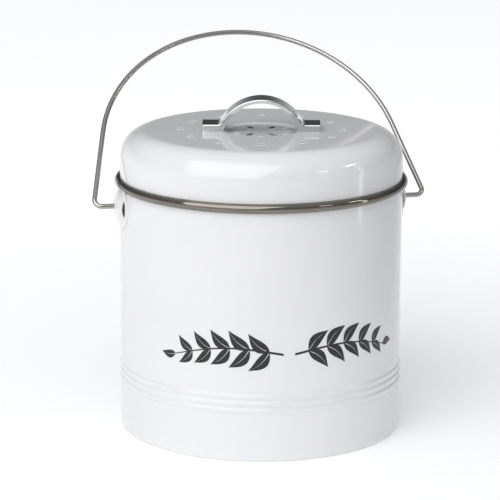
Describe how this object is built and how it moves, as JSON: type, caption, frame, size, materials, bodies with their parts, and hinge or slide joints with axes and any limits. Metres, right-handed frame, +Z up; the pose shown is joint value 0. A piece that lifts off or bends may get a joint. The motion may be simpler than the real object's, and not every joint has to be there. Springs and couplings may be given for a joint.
{
  "type": "compost bin",
  "caption": "Round countertop compost bin in white coated steel with a polished rolled rim, vented lift-off lid with arch handle and filter, wire bail and lift-out bucket.",
  "frame": {"origin": "middle of the foot's rest plane, on the bin's axis", "axes": "+Z up along the bin's axis, +X through the right ear, front towards -Y"},
  "size_m": [0.2404, 0.2137, 0.2686],
  "materials": {
    "white_coat": "glossy powder coat",
    "lid_coat": "glossy powder coat",
    "rim_steel": "polished stainless steel",
    "bail_steel": "drawn wire",
    "handle_chrome": "polished chrome",
    "inner_steel": "satin",
    "filter_plastic": "moulded",
    "charcoal": "charcoal felt",
    "bucket_plastic": "moulded"
  },
  "bodies": {
    "bin": {"body_wall": "white_coat", "base_plate": "white_coat", "rim_ring": "rim_steel", "ear_left": "white_coat", "ear_right": "white_coat"},
    "bail": {"bail_wire": "bail_steel"},
    "liner": {"inner_bucket": "bucket_plastic"},
    "lid": {"lid_shell": "lid_coat", "lid_plug_ring": "inner_steel", "lid_handle": "handle_chrome", "handle_screws": "inner_steel", "handle_washers": "inner_steel", "filter_collar": "inner_steel"},
    "filter": {"filter_holder": "filter_plastic", "charcoal_pad": "charcoal"}
  },
  "joints": [
    {"name": "bail_swing", "type": "hinge", "parent": "bin", "child": "bail", "pos_m": [0, 0, 0.1624], "axis": [-1, 0, 0], "range_deg": [-182.5, 90.5]},
    {"name": "liner_lift", "type": "slide", "parent": "bin", "child": "liner", "axis": [0, 0, 1], "range_m": [0, 0.185]},
    {"name": "lid_lift", "type": "slide", "parent": "liner", "child": "lid", "axis": [0, 0, 1], "range_m": [0, 0.12]},
    {"name": "filter_pull", "type": "slide", "parent": "lid", "child": "filter", "axis": [0, 0, -1], "range_m": [0, 0.02]}
  ]
}
